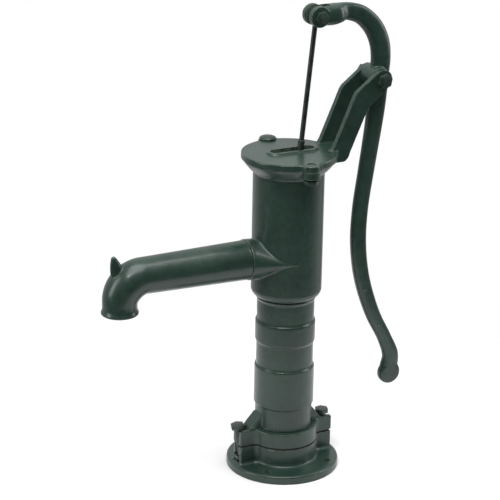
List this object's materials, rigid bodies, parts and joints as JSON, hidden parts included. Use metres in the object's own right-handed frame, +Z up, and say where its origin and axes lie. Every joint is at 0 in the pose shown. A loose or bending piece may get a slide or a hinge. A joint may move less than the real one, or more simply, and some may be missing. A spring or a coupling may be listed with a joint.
{
  "type": "hand well pump",
  "caption": "Cast-iron hand well pump on a round base: bolted cylinder, wide upper body with curved spout, slotted cover with fork, and a hooked lever working a piston rod.",
  "frame": {"origin": "on the pump's axis, at the middle of the base flange's underside where the well pipe enters", "axes": "+Z up along the pump's axis; the spout points along -X and the handle hangs on the +X side"},
  "size_m": [0.4825, 0.165, 0.687],
  "materials": {
    "green_paint": "dark green gloss enamel over sand-cast iron",
    "painted_fasteners": "steel bolts and nuts brushed over with the same green enamel",
    "rod_steel": "dark drawn steel, oiled",
    "bare_iron": "bare cast iron, wet",
    "leather": "greased leather, almost black at the edge",
    "valve_brass": "turned brass, dull"
  },
  "bodies": {
    "stand": {"base_flange": "green_paint", "foot_gasket": "leather", "pump_cylinder": "green_paint", "clamp_bolt_spout_side": "painted_fasteners", "clamp_nut_spout_side": "painted_fasteners", "clamp_bolt_handle_side": "painted_fasteners", "clamp_nut_handle_side": "painted_fasteners", "reservoir": "green_paint", "spout": "green_paint", "cover_and_fork": "green_paint", "cover_bolt_rear": "painted_fasteners", "cover_nut_rear": "painted_fasteners", "cover_bolt_front": "painted_fasteners", "pivot_bolt": "painted_fasteners", "pivot_nut": "painted_fasteners"},
    "foot_valve": {"foot_valve_flap": "leather", "foot_valve_weight": "bare_iron", "foot_valve_screw": "valve_brass"},
    "handle": {"handle": "green_paint", "rod_pin_bolt": "painted_fasteners", "rod_pin_nut": "painted_fasteners"},
    "pump_rod": {"eye_rod": "rod_steel", "loop_rod": "rod_steel"},
    "piston": {"piston_clamp_ring": "bare_iron", "cup_leather": "leather", "piston_body": "bare_iron", "gudgeon_pin": "rod_steel"},
    "piston_valve": {"piston_valve": "valve_brass"}
  },
  "joints": [
    {"name": "handle_pivot", "type": "hinge", "parent": "stand", "child": "handle", "pos_m": [0.135, 0, 0.575], "axis": [0, -1, 0], "range_deg": [0, 50]},
    {"name": "rod_pin", "type": "hinge", "parent": "handle", "child": "pump_rod", "pos_m": [0.037, 0, 0.672], "axis": [0, -1, 0], "range_deg": [-43, 0]},
    {"name": "piston_slide", "type": "slide", "parent": "stand", "child": "piston", "axis": [0, 0, -1], "range_m": [0, 0.1089]},
    {"name": "piston_valve_lift", "type": "slide", "parent": "piston", "child": "piston_valve", "axis": [0, 0, 1], "range_m": [0, 0.007]},
    {"name": "foot_valve_hinge", "type": "hinge", "parent": "stand", "child": "foot_valve", "pos_m": [0.033, 0, 0.0408], "axis": [0, 1, 0], "range_deg": [0, 35]}
  ],
  "couplings": [
    {"joint": "rod_pin", "follows": "handle_pivot", "ratio": -0.852},
    {"joint": "piston_slide", "follows": "handle_pivot", "m_per_rad": 0.1247}
  ]
}
